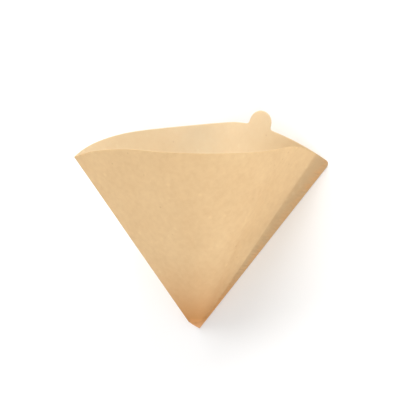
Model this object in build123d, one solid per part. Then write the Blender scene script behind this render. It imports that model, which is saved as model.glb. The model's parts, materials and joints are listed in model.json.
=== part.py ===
from build123d import *
from math import cos, radians, sin, tan
import os

# Paper coffee filter, lying on its rear panel and its seam flap.
# A half disc of paper is folded once, its two straight edges are crimped together, and the
# cone that this makes is opened by hand. All sizes are in millimetres and degrees.
# The form is drawn first with the corner of the sheet at the origin and the cone along +Z:
# the front panel bows towards -Y, the rear panel towards +Y, the fold is at -X, the seam at +X.

# Sheet
slant = 120.0
paper = 0.25

# Bend of each panel from the fold to the seam. A bent strip of the sheet is part of a round cone
# with its tip at the corner of the sheet: its flat angle, and the half angle of that cone.
# A half angle over 90 bends the strip the other way.
fold_lean = 33.78
front_start_angle = 55.10
front_strips = ((27.41, 66.70), (41.45, 25.71), (16.67, 141.34))
rear_start_angle = 68.08
rear_strips = ((30.88, 39.95), (26.14, 17.61), (28.51, 157.30))

# Pinched and trimmed tip
pinch_top = 33.0
pinch_height = 6.0
cavity_floor = 9.5
tip_cut_height = 2.8
tip_cut_slope_angle = 30.5
tip_round_radius = 12.0

# Seam flap, two layers crimped together
flap_angle = 4.5
flap_turn = 12.0
flap_corner_radius = 2.5

# Lifting tab on the rim, its middle by the flat angle from the start of the last rear strip
tab_place_angle = 10.73
tab_radius = 7.1
tab_height = 8.8
tab_root_radius = 2.1

# How the cone lies on the table
rest_roll = 27.79
rest_rise = 21.16

corner = Vector(0, 0, 0)
fold_line = Vector(-sin(radians(fold_lean)), 0, cos(radians(fold_lean)))


def turned(vector, axis, angle):
    return vector.rotate(Axis(corner, axis), angle)


def bend_panel(side, start, strips):
    # Where each strip begins and how it bends: line from the corner, heading across it, axis, sweep.
    # The line where the last strip ends comes after the list.
    line = fold_line
    off_fold = Vector(fold_line.Z, 0, -fold_line.X)
    heading = off_fold * cos(radians(start)) + Vector(0, side, 0) * sin(radians(start))
    bends = []
    for flat_angle, half_angle in strips:
        inward = line.cross(heading) * -side
        axis = line * cos(radians(half_angle)) + inward * sin(radians(half_angle))
        sweep = -side * flat_angle / sin(radians(half_angle))
        bends.append((line, heading, inward, axis, sweep))
        line, heading = turned(line, axis, sweep), turned(heading, axis, sweep)
    return bends, line


def strip_wall(bend, start, end, spare=0.0):
    # One bent strip between two distances from the corner, thicker than the paper by spare on each side
    line, _, inward, axis, sweep = bend
    along = Plane(origin=corner, x_dir=line, z_dir=line.cross(inward))
    profile = Rectangle(end - start, paper + 2 * spare, align=Align.MIN)
    return Solid.revolve((along * Pos(start, -paper - spare) * profile).face(), sweep, Axis(corner, axis))


def round_edge(line):
    # A hair fuller than the paper and a hair past the rim, so that it crosses the walls cleanly
    rod = Cylinder(1.1 * paper, slant + paper / 10, align=(Align.CENTER, Align.CENTER, Align.MIN))
    return Plane(origin=corner, z_dir=line) * rod


front_bends, seam_line = bend_panel(-1, front_start_angle, front_strips)
rear_bends = bend_panel(1, rear_start_angle, rear_strips)[0]

# Lifting tab, where the last rear strip runs on past the rim, as a flat outline with rounded roots
line, heading, _, axis, sweep = rear_bends[-1]
tab_turn = sweep * tab_place_angle / rear_strips[-1][0]
tab_line = turned(line, axis, tab_turn)
tab_plane = Plane(origin=corner, x_dir=tab_line, z_dir=tab_line.cross(turned(heading, axis, tab_turn)))
tab_depth = 4 * tab_radius
outline = Cylinder(slant - paper / 10, tab_depth)
outline += Pos(slant + tab_height - tab_radius, 0, 0) * Cylinder(tab_radius, tab_depth)
outline += Pos(slant, 0, 0) * Box(2 * (tab_height - tab_radius), 2 * tab_radius, tab_depth)
roots = outline.edges().filter_by(Axis.Z).sort_by(lambda e: (e.center() - Vector(slant, 0, 0)).length)[:2]
outline = outline.fillet(tab_root_radius, roots)
outline &= Pos(slant, 0, 0) * Box(4 * tab_radius, 4 * tab_radius, tab_depth)
beyond_rim = strip_wall(rear_bends[-1], slant, slant + 2 * tab_height, tab_radius / 4) - tab_plane * outline
tab_strip = strip_wall(rear_bends[-1], pinch_height, slant + tab_height + tab_root_radius) - beyond_rim

# Both panels, joined by the round edge of the fold and of the seam
strips = [strip_wall(bend, pinch_height, slant) for bend in front_bends + rear_bends[:-1]]
panels = Part() + strips + [tab_strip, round_edge(fold_line), round_edge(seam_line)]
panels = split(panels, bisect_by=Plane.XY.offset(pinch_top), keep=Keep.TOP)


def squeezed(outline, height, depth):
    # The outline at the top of the pinch, moved down to a height and flattened to a depth
    narrow = height / pinch_top
    flat = depth / outline.bounding_box().size.Y
    shrink = Matrix([[narrow, 0, 0, 0], [0, flat, 0, 0], [0, 0, 1, height - pinch_top]])
    return outline.transform_geometry(shrink)


# Tip, pinched flat below the open cone
ring = panels.faces().sort_by(Axis.Z)[0]
outside = ring.outer_wire()
inside = ring.inner_wires()[0]
opening = inside.bounding_box().size.Y * (cavity_floor - pinch_height) / (pinch_top - pinch_height)
rings = [squeezed(outside, h, 2 * paper) for h in (tip_cut_height / 2, pinch_height)] + [outside]
tip_form = Solid.make_loft(rings, ruled=True)
tip_form -= Solid.make_loft([squeezed(inside, cavity_floor, opening), inside], ruled=True)

# Seam flap, a flat wedge of two layers beyond the seam, with its upper corner rounded
flap_run = Vector(cos(radians(flap_turn)), sin(radians(flap_turn)), 0)
flap_plane = Plane(origin=corner, x_dir=seam_line, z_dir=seam_line.cross(flap_run))
flap_width = 2 * slant * tan(radians(flap_angle))
flap = make_face(Polyline((0, 0), (2 * slant, 0), (2 * slant, flap_width), close=True)) & Circle(slant)
flap = extrude(flap, paper, both=True)
flap = flap.fillet(flap_corner_radius, flap.edges().filter_by(Axis.Z).sort_by(Axis.Y)[-1:])
sheet = panels + tip_form + flap_plane * flap

# Tip cut off in a slope that rises from the edge of the flap and rounds into the fold
flap_edge = seam_line * cos(radians(flap_angle)) + flap_plane.y_dir * sin(radians(flap_angle))
cut_start = flap_edge * tip_cut_height
slope = Vector(-cos(radians(tip_cut_slope_angle)), 0, sin(radians(tip_cut_slope_angle)))
beside_fold = Vector(-fold_line.Z, 0, fold_line.X) * (2 * paper)
way = (beside_fold - cut_start).cross(fold_line).Y / slope.cross(fold_line).Y
cut_end = cut_start + slope * way
far_up = cut_end + fold_line * (2 * slant)
far_right = far_up + Vector(4 * slant, 0, 0)
kept = make_face(Polyline(cut_end, far_up, far_right, cut_start - slope * slant, close=True))
kept = extrude(kept, slant, both=True)
kept = kept.fillet(tip_round_radius, kept.edges().filter_by(Axis.Y).sort_by_distance(cut_end)[:1])
sheet &= kept

# Laid down on the rear panel and the flap, centred over the table
sheet = Rot(rest_rise - 90, 0, 0) * Rot(0, 0, rest_roll) * sheet
box = sheet.bounding_box()
sheet = Pos(-box.center().X, -box.center().Y, -box.min.Z) * sheet

os.makedirs("parts", exist_ok=True)
export_step(sheet, "parts/filter_paper.step")
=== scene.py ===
import json
import math

import bmesh
import bpy
from mathutils import Matrix, Vector, noise


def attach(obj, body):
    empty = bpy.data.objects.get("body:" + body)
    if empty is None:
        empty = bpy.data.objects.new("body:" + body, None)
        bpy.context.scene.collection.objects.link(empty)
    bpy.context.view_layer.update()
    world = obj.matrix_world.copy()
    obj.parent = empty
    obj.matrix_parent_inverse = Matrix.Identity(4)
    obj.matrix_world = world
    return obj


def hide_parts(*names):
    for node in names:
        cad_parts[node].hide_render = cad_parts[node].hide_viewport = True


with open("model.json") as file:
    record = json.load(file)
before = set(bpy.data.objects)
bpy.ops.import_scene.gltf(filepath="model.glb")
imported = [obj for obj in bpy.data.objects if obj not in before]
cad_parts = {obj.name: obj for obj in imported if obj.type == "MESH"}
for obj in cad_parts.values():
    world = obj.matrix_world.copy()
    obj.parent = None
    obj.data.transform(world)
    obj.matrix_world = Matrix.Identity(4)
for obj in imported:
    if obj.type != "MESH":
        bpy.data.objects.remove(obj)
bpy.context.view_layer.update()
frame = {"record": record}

# Sizes of the filter, in metres and degrees
SLANT = 0.120
PAPER = 0.00025
FOLD_LEAN = 33.78
FRONT_START = 55.10
FRONT_STRIPS = ((27.41, 66.70), (41.45, 25.71), (16.67, 141.34))
REAR_START = 68.08
REAR_STRIPS = ((30.88, 39.95), (26.14, 17.61), (28.51, 157.30))
PANEL = 85.53
FLAP = 4.5
FLAP_TURN = 12.0
FLAP_CORNER = 0.0025
PINCH_TOP = 0.033
PINCH_HEIGHT = 0.006
TIP_CUT = 0.0028
TIP_SLOPE = 30.5
TIP_ROUND = 0.012
TAB_MIDDLE = 67.75
TAB_RADIUS = 0.0071
TAB_RISE = 0.0018
TAB_ROOT = 0.0018
WAVE_DEPTH = 0.0009
CRIMP_PITCH = 0.0026
CRIMP_DEPTH = 0.00016
CRIMP_WIDTH = 0.0042
REST_ROLL = 27.79
REST_RISE = 21.16

# Rows of the sheet's mesh, below the band of the rim and in it
ROWS_BELOW = 170
ROWS_TOP = 40
TOP_BAND = 0.016

# The corner of the sheet, where the two straight edges of the half disc meet
CORNER = Vector(frame["record"]["mounts"][0]["pos_m"])
ROLLED = Matrix.Rotation(math.radians(REST_ROLL), 3, "Z")
LAID = Matrix.Rotation(math.radians(REST_RISE - 90), 3, "X") @ ROLLED


# Line of the open mouth

def bent_panel(side, start, strips, step):
    """Lines from the corner across one panel, each with its flat angle and outward normal."""
    lean, turn = math.radians(FOLD_LEAN), math.radians(start)
    line = Vector((-math.sin(lean), 0, math.cos(lean)))
    off_fold = Vector((math.cos(lean), 0, math.sin(lean)))
    heading = off_fold * math.cos(turn) + Vector((0, side * math.sin(turn), 0))
    angle, lines = 0.0, []
    for flat, half in strips:
        inward = line.cross(heading) * -side
        axis = line * math.cos(math.radians(half)) + inward * math.sin(math.radians(half))
        count = max(1, round(flat / step))
        sweep = Matrix.Rotation(-side * math.radians(flat / count) / math.sin(math.radians(half)), 3, axis)
        for _ in range(count):
            lines.append((angle, line.copy(), -inward))
            angle, line, inward = angle + flat / count, sweep @ line, sweep @ inward
            heading = sweep @ heading
    lines.append((angle, line.copy(), -inward))
    return lines


def flap_lines(seam, side, step):
    """Lines across the flap, a flat wedge beyond the seam."""
    run = Vector((math.cos(math.radians(FLAP_TURN)), math.sin(math.radians(FLAP_TURN)), 0))
    face = seam.cross(run).normalized()
    across = face.cross(seam)
    count = round(FLAP / step)
    lines = []
    for i in range(1, count + 1):
        a = math.radians(FLAP * i / count)
        lines.append((PANEL + FLAP * i / count, seam * math.cos(a) + across * math.sin(a), face * side))
    return lines


def mouth_lines(step=0.25):
    """The whole sheet from the front edge of the flap (-90) over the fold (0) to the rear edge (+90)."""
    front = bent_panel(-1, FRONT_START, FRONT_STRIPS, step)
    rear = bent_panel(1, REAR_START, REAR_STRIPS, step)
    seam = front[-1][1]
    front += flap_lines(seam, -1, step)
    rear += flap_lines(seam, 1, step)
    return [soften(front), soften(rear)]


def soften(lines, reach=4):
    """Rounds the crease of the seam by averaging each line with its neighbours."""
    soft = []
    for i, (angle, line, normal) in enumerate(lines):
        r = min(reach, i, len(lines) - 1 - i)
        near = lines[i - r:i + r + 1]
        mean = sum((n[1] for n in near), Vector())
        face = sum((n[2] for n in near), Vector())
        soft.append((angle, mean.normalized(), face.normalized()))
    return soft


FRONT_LINES, REAR_LINES = mouth_lines()


def line_at(angle):
    """Line and outward normal at a flat angle from the fold, negative on the front panel."""
    lines = FRONT_LINES if angle < 0 else REAR_LINES
    a = abs(angle)
    step = lines[-1][0] / (len(lines) - 1)
    i = min(int(a / step), len(lines) - 2)
    while lines[i][0] > a and i > 0:
        i -= 1
    while lines[i + 1][0] < a and i < len(lines) - 2:
        i += 1
    t = (a - lines[i][0]) / (lines[i + 1][0] - lines[i][0])
    line, normal = (lines[i][k].lerp(lines[i + 1][k], t).normalized() for k in (1, 2))
    return line, normal


FLAP_EDGE = REAR_LINES[-1][1]


# Flat sheet, cut to shape

def smooth(x):
    """Rises softly from 0 to 1."""
    x = min(max(x, 0.0), 1.0)
    return x * x * (3 - 2 * x)


HALF_TAB = math.degrees((TAB_RADIUS + TAB_ROOT) / SLANT)


def columns():
    """Flat angles of the lines down the sheet, closer together at the fold, the creases and the tab.
    The lines at the fold also have their place on its round, from -1 in front to 1 behind.
    """
    seam, edge = PANEL, PANEL + FLAP
    tab_start, tab_end = TAB_MIDDLE - HALF_TAB, TAB_MIDDLE + HALF_TAB
    front = (-edge, -edge + 1.3, -seam - 1.2, -seam + 2.0, -0.6, 0.0)
    rear = (0.6, tab_start, tab_end, seam - 1.6, seam + 1.2, edge - 1.3, edge)
    stops = front + rear
    counts = (7, 8, 12, 54, 2, 2, 38, 38, 8, 10, 8, 7)
    angles = []
    for low, high, count in zip(stops, stops[1:], counts):
        angles += [(low + (high - low) * i / count, 0.0) for i in range(count)]
        if high == 0.0:
            angles += [(0.0, f) for f in (-1, -0.5, 0, 0.5)]
    return angles + [(edge, 0.0)]


def tab_outline(t):
    """Point on the edge of the tab, as across and out from the rim, for t from -1 to 1."""
    lengths = (math.pi / 2 * TAB_ROOT, math.pi / 2 * TAB_RADIUS)
    s = abs(t) * (lengths[0] + lengths[1])
    if s < lengths[1]:
        a = s / TAB_RADIUS
        across, out = TAB_RADIUS * math.sin(a), TAB_RISE + TAB_RADIUS * math.cos(a)
    else:
        a = (s - lengths[1]) / TAB_ROOT
        across, out = TAB_RADIUS + TAB_ROOT * (1 - math.cos(a)), TAB_ROOT * (1 - math.sin(a))
    return math.copysign(across, t), out


def tip_cut():
    """The cut across the tip, seen from the front: start, direction, normal, middle of its round."""
    lean, slope = math.radians(FOLD_LEAN), math.radians(TIP_SLOPE)
    start = Vector((FLAP_EDGE.x, FLAP_EDGE.z)) * TIP_CUT
    along = Vector((-math.cos(slope), math.sin(slope)))
    up = Vector((math.sin(slope), math.cos(slope)))
    off_fold = Vector((math.cos(lean), math.sin(lean)))
    reach = Vector((start.dot(up) + TIP_ROUND, TIP_ROUND - 1.2 * PAPER))
    return start, along, up, Matrix([up, off_fold]).inverted() @ reach


CUT_START, CUT_ALONG, CUT_UP, ROUND_MIDDLE = tip_cut()


def trimmed(line):
    """Distance from the corner at which a line of the sheet begins, at the cut or on its round."""
    seen = Vector((line.x, line.z))
    far = CUT_START.dot(CUT_UP) / seen.dot(CUT_UP)
    if (seen * far - ROUND_MIDDLE).dot(CUT_ALONG) > 0:
        square = seen.dot(seen)
        half = seen.dot(ROUND_MIDDLE) / square
        far = half - math.sqrt(max(half ** 2 - (ROUND_MIDDLE.length ** 2 - TIP_ROUND ** 2) / square, 0.0))
    return far


def flat_place(angle, row):
    """Flat angle and distance from the corner of a point of the cut sheet."""
    line = line_at(angle)[0]
    start = trimmed(line)
    base = SLANT - TOP_BAND
    if row <= ROWS_BELOW:
        return angle, start + (base - start) * row / ROWS_BELOW
    w = (row - ROWS_BELOW) / ROWS_TOP
    t = (angle - TAB_MIDDLE) / HALF_TAB
    if abs(t) < 1:
        across, out = tab_outline(t)
        edge_angle, edge = TAB_MIDDLE + math.degrees(across / SLANT), SLANT + out
        return angle + (edge_angle - angle) * w, base + (edge - base) * w
    rim = SLANT
    aside = SLANT * math.radians(PANEL + FLAP - abs(angle))
    if aside < FLAP_CORNER:
        rim -= FLAP_CORNER - math.sqrt(max(FLAP_CORNER ** 2 - (FLAP_CORNER - aside) ** 2, 0))
    return angle, base + (rim - base) * w


# Bending the sheet

def bow(height):
    """Depth of the bow at a height, as a share of the full one. It falls to nothing at the pinch."""
    full = height
    pinched = (height - PINCH_HEIGHT) * PINCH_TOP / (PINCH_TOP - PINCH_HEIGHT)
    soft = 0.0012
    low = min(full, pinched)
    eased = low - soft * math.log(math.exp((low - full) / soft) + math.exp((low - pinched) / soft))
    return max(eased, 0.0) / height


def unevenness(angle, far):
    """Slight waves of a handled sheet, always inward, gone at the fold, the seam and the tip."""
    a = abs(angle) / PANEL
    if a >= 1:
        return 0.0
    hold = smooth(a / 0.12) * smooth((1 - a) / 0.15) * smooth((far - 0.02) / 0.04)
    place = Vector((angle * 0.045, far * 14.0, 3.1 if angle < 0 else 8.7))
    wave = 0.6 * noise.noise(place) + 0.3 * noise.noise(place * 2.3)
    return -WAVE_DEPTH * hold * (0.5 + wave)


def crimp(angle, far):
    """Marks of the crimping wheel, pushed into both layers of the flap, some deeper than others."""
    aside = math.radians(PANEL + FLAP - abs(angle)) * far
    band = smooth((aside - 0.0004) / 0.0005) * smooth((CRIMP_WIDTH - aside) / 0.0006)
    wheel = math.sin(2 * math.pi * (far + aside * 0.35) / CRIMP_PITCH)
    depth = CRIMP_DEPTH * (1.0 + 0.8 * noise.noise(Vector((far * 320.0, 4.2, 7.9))))
    return band * depth * max(-1.0, min(1.0, 2.0 * wheel))


def bent_place(angle, fold, far):
    """Place of a point of the flat sheet once it is folded, bent, pinched and laid down."""
    line, normal = line_at(angle)
    if angle == 0.0:
        front, rear = FRONT_LINES[0][2], REAR_LINES[0][2]
        outer = -(line.cross(Vector((0, 1, 0)))).normalized()
        outer = outer if outer.x < 0 else -outer
        normal = (front if fold < 0 else rear).lerp(outer, 1 - abs(fold)).normalized()
    place = line * far
    deep = bow(max(place.z, 0.0012))
    normal = Vector((normal.x * max(deep, 0.02), normal.y, normal.z * max(deep, 0.02))).normalized()
    place.y *= deep
    place += normal * (PAPER * 0.55 + unevenness(angle, far))
    place.y += crimp(angle, far)
    return CORNER + LAID @ place


def make_sheet():
    """The whole filter: a grid cut to the flat sheet, bent, then given the paper's thickness."""
    places = columns()
    rows = ROWS_BELOW + ROWS_TOP
    bm = bmesh.new()
    flat = bm.loops.layers.uv.new("flat")
    # Mask of the flap, from just before its crease: it carries painted shade and the flap's rubbed edge
    flap_shade_and_wear = bm.verts.layers.float.new("flap_shade_and_wear")
    far_out = bm.verts.layers.float.new("far_out")
    bmesh.ops.create_grid(bm, x_segments=len(places) - 1, y_segments=rows, size=1.0)
    cut = {}
    for v in bm.verts:
        column = round((v.co.x + 1) / 2 * (len(places) - 1))
        row = round((v.co.y + 1) / 2 * rows)
        angle, fold = places[column]
        angle_here, far = flat_place(angle, row)
        turn = math.radians(angle_here) + fold * PAPER / max(far, 0.002) * 0.5
        cut[v] = (math.sin(turn) * far, math.cos(turn) * far)
        past_crease = abs(angle_here) - PANEL
        # Starting 1.1 degrees before the crease, the painted shade of the flap also falls on the panel
        # beside it
        v[flap_shade_and_wear] = smooth((past_crease + 1.1) / 0.8) * (0.5 + 0.5 * past_crease / FLAP)
        v[far_out] = far / SLANT
        v.co = bent_place(angle_here, fold, far)
    for face in bm.faces:
        face.smooth = True
        for loop in face.loops:
            loop[flat].uv = cut[loop.vert]
    bmesh.ops.recalc_face_normals(bm, faces=bm.faces)
    top = max(bm.faces, key=lambda f: f.calc_center_median().z)
    middle = sum((v.co for v in bm.verts), Vector()) / len(bm.verts)
    if top.normal.dot(top.calc_center_median() - middle) < 0:
        bmesh.ops.reverse_faces(bm, faces=bm.faces)
    mesh = bpy.data.meshes.new("filter_sheet")
    bm.to_mesh(mesh)
    bm.free()
    sheet = bpy.data.objects.new("filter_sheet", mesh)
    bpy.context.collection.objects.link(sheet)
    wall = sheet.modifiers.new("paper thickness", "SOLIDIFY")
    wall.thickness = PAPER
    wall.offset = 0.0
    wall.material_offset = 1
    return sheet


# Shader nodes, written as sums

class Shading:
    """The nodes of one material or of the world."""

    def __init__(self, owner):
        owner.use_nodes = True
        self.tree = owner.node_tree
        self.tree.nodes.clear()

    def add(self, kind, sockets=None, settings=None, output=0):
        """Adds a node: first its settings, then the value or link of each socket by name or number."""
        node = self.tree.nodes.new(kind)
        for name, value in (settings or {}).items():
            setattr(node, name, value)
        for key, value in (sockets or {}).items():
            if isinstance(value, Socket):
                self.tree.links.new(value.socket, node.inputs[key])
            else:
                node.inputs[key].default_value = value
        return Socket(self, node.outputs[output] if node.outputs else None)

    def mix(self, factor, first, second):
        """Colour between two others."""
        return self.add("ShaderNodeMix", {0: factor, 6: first, 7: second}, {"data_type": "RGBA"}, output=2)


class Socket:
    """A node's output that can be added, multiplied and compared."""

    def __init__(self, shading, socket):
        self.shading, self.socket = shading, socket

    def math(self, operation, *others):
        values = dict(enumerate((self, *others)))
        return self.shading.add("ShaderNodeMath", values, {"operation": operation})

    def __add__(self, other):
        return self.math("ADD", other)

    def __mul__(self, other):
        return self.math("MULTIPLY", other)

    def __sub__(self, other):
        return self.math("SUBTRACT", other)

    def __rsub__(self, other):
        return self * -1.0 + other

    def __pow__(self, other):
        return self.math("POWER", other)

    def __gt__(self, other):
        return self.math("GREATER_THAN", other)

    def __lt__(self, other):
        return self.math("LESS_THAN", other)

    def __abs__(self):
        return self.math("ABSOLUTE")

    __radd__ = __add__
    __rmul__ = __mul__

    def clamp(self):
        return self.math("MAXIMUM", 0.0).math("MINIMUM", 1.0)

    def ramp(self, low, high):
        """Rises from 0 at the low value to 1 at the high one."""
        return ((self - low) * (1.0 / (high - low))).clamp()


def shade(red, green, blue):
    """Colour as seen on a screen, from 0 to 255, turned into the light values that shaders use."""
    return (*(((c / 255 + 0.055) / 1.055) ** 2.4 for c in (red, green, blue)), 1.0)


# Paper

def paper_material(name, dark, light, glow, mottle, fine):
    """One side of the sheet: cloudy fibre with pale flocks, a few bark specks and fine hairs."""
    material = bpy.data.materials.new(name)
    nodes = Shading(material)
    flat = nodes.add("ShaderNodeUVMap", settings={"uv_map": "flat"})
    flap_shade_and_wear = nodes.add("ShaderNodeAttribute", settings={"attribute_name": "flap_shade_and_wear"}, output=2)
    far_out = nodes.add("ShaderNodeAttribute", settings={"attribute_name": "far_out"}, output=2)

    def cloud(scale, detail, roughness=0.5, distortion=0.0):
        shape = {"Scale": scale, "Detail": detail, "Roughness": roughness, "Distortion": distortion}
        return nodes.add("ShaderNodeTexNoise", {"Vector": flat, **shape})

    clouds = cloud(45.0, 3.0, roughness=0.55)
    flocks = cloud(300.0, 2.0, distortion=0.3)
    grain = cloud(1800.0, 2.0, roughness=0.6)
    bends = cloud(170.0, 1.0, distortion=2.0)
    hair = (1.0 - abs(bends - 0.5).ramp(0.0, 0.010)) * flocks.ramp(0.45, 0.65)
    cells = {"Vector": flat, "Scale": 190.0, "Randomness": 1.0}
    spots = nodes.add("ShaderNodeTexVoronoi", cells)
    lot = nodes.add("ShaderNodeSeparateColor", {"Color": nodes.add("ShaderNodeTexVoronoi", cells, output=1)})
    speck = (1.0 - spots.ramp(0.05, 0.14)) * (lot > 0.86)
    fleck = (1.0 - spots.ramp(0.10, 0.30)) * (lot < 0.16)
    fibre = (clouds - 0.5) * 0.75 + (flocks - 0.5) * 0.70 + hair * 0.18 + fleck * 0.35
    tone = fibre * mottle + (grain - 0.5) * fine + 0.5
    colour = nodes.mix(tone.clamp(), dark, light)
    colour = nodes.mix(speck * 0.28 * mottle, colour, shade(140, 100, 60))

    # Painted shade: the flap, and a strip of the panel just before its crease, are duller, standing in for
    # the shade in the crease and the light held back by the double layer. Painted shade also makes the
    # corner darker and browner towards the tip. Flap and corner are both rubbed to orange at the edge.
    colour = nodes.mix(flap_shade_and_wear.ramp(0.0, 0.5) * 0.28, colour, shade(188, 148, 104))
    # Painted shade: darker and browner towards the tip, standing in for the shade at the pinched tip
    corner = (1.0 - far_out.ramp(0.05, 0.45)) ** 1.6
    colour = nodes.mix(corner * 0.95, colour, shade(204, 144, 82))
    tip = (1.0 - far_out.ramp(0.036, 0.078)) * flocks.ramp(0.2, 0.5)
    colour = nodes.mix(tip * 0.95, colour, shade(250, 192, 136))
    rubbed = flap_shade_and_wear.ramp(0.62, 0.95) * (flocks * 0.7 + clouds * 0.5).ramp(0.45, 0.75)
    rubbed += flap_shade_and_wear.ramp(0.1, 0.4) * (1.0 - far_out.ramp(0.16, 0.36)) * 0.7
    colour = nodes.mix(rubbed.clamp() * 0.6, colour, shade(232, 172, 108))

    relief = (flocks * 0.5 + grain * 0.5 + hair * 0.2) * mottle
    bump = nodes.add("ShaderNodeBump", {"Strength": 0.2, "Distance": 0.00004, "Height": relief})
    skin = {"Base Color": colour, "Roughness": 0.85, "Specular IOR Level": 0.25, "Normal": bump}
    reflected = nodes.add("ShaderNodeBsdfPrincipled", skin)
    let_through = nodes.add("ShaderNodeBsdfTranslucent", {"Color": glow})
    paper = nodes.add("ShaderNodeMixShader", {0: 0.30, 1: reflected, 2: let_through})
    nodes.add("ShaderNodeOutputMaterial", {"Surface": paper})
    return material


# Studio

def make_floor():
    bm = bmesh.new()
    bmesh.ops.create_grid(bm, x_segments=1, y_segments=1, size=6.0)
    mesh = bpy.data.meshes.new("floor")
    bm.to_mesh(mesh)
    bm.free()
    floor = bpy.data.objects.new("floor", mesh)
    bpy.context.collection.objects.link(floor)
    paint = bpy.data.materials.new("floor paint")
    nodes = Shading(paint)
    matt = nodes.add("ShaderNodeBsdfPrincipled", {"Base Color": (0.93, 0.93, 0.93, 1.0), "Roughness": 0.9})
    nodes.add("ShaderNodeOutputMaterial", {"Surface": matt})
    mesh.materials.append(paint)


def make_world():
    """White behind the floor, and a dimmer light all round."""
    world = bpy.data.worlds.new("studio")
    bpy.context.scene.world = world
    nodes = Shading(world)
    seen = nodes.add("ShaderNodeLightPath")
    colour = nodes.mix(seen, (0.56, 0.56, 0.56, 1.0), (1.0, 1.0, 1.0, 1.0))
    sky = nodes.add("ShaderNodeBackground", {"Color": colour, "Strength": 1.0})
    nodes.add("ShaderNodeOutputWorld", {"Surface": sky})


def camera_axes():
    """Right, up and onward of the camera, in the frame where the cone stands on its corner."""
    rise, turn = math.radians(9.885), math.radians(3.976)
    right = Vector((math.cos(turn), -math.sin(turn), 0))
    up = Vector((math.sin(turn) * math.sin(rise), math.cos(turn) * math.sin(rise), math.cos(rise)))
    return right, up, up.cross(right)


def make_light(name, direction, strength, softness):
    """A soft light that comes from a direction given as right, up and toward the camera."""
    data = bpy.data.lights.new(name, "SUN")
    data.energy, data.angle = strength, math.radians(softness)
    light = bpy.data.objects.new(name, data)
    bpy.context.collection.objects.link(light)
    right, up, onward = camera_axes()
    light.location = LAID @ (right * direction[0] + up * direction[1] - onward * direction[2])
    light.rotation_mode = "QUATERNION"
    light.rotation_quaternion = (-light.location).to_track_quat("-Z", "Y")


def make_camera():
    """Stands where the photo was taken from, with sizes in slant lengths and in points of the photo."""
    away, slant_points, width = 8.0, 214.894, 400
    corner_x, corner_y = 196.41, 332.145
    right, up, onward = camera_axes()
    aside, above = (width / 2 - corner_x) / slant_points, (corner_y - width / 2) / slant_points
    place = right * aside + up * above - onward * away
    data = bpy.data.cameras.new("camera")
    data.sensor_width = 36.0
    data.lens = slant_points * away / width * data.sensor_width
    data.clip_start, data.clip_end = 0.05, 50.0
    camera = bpy.data.objects.new("camera", data)
    bpy.context.collection.objects.link(camera)
    camera.location = CORNER + LAID @ (place * SLANT)
    camera.rotation_mode = "QUATERNION"
    axes = Matrix([LAID @ right, LAID @ up, LAID @ -onward]).transposed()
    camera.rotation_quaternion = axes.to_quaternion()
    bpy.context.scene.camera = camera


sheet = make_sheet()
outside = shade(221, 190, 146), shade(246, 221, 176), shade(234, 206, 162)
# Painted light: the inside is given paler, cooler colours than the outside, standing in for the brighter
# light on the inner wall
inside = shade(232, 209, 171), shade(247, 234, 203), shade(240, 222, 188)
sheet.data.materials.append(paper_material("paper outside", *outside, mottle=1.0, fine=0.06))
sheet.data.materials.append(paper_material("paper inside", *inside, mottle=0.6, fine=0.045))
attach(sheet, "root")
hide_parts("filter_paper")

make_floor()
make_world()
make_light("front", (0.0, -0.50, 0.87), 1.25, 40)
make_light("left", (-0.66, 0.74, 0.10), 1.65, 35)
make_light("above", (0.0, 0.98, 0.20), 2.35, 35)
make_camera()
bpy.context.scene.view_settings.view_transform = "Standard"
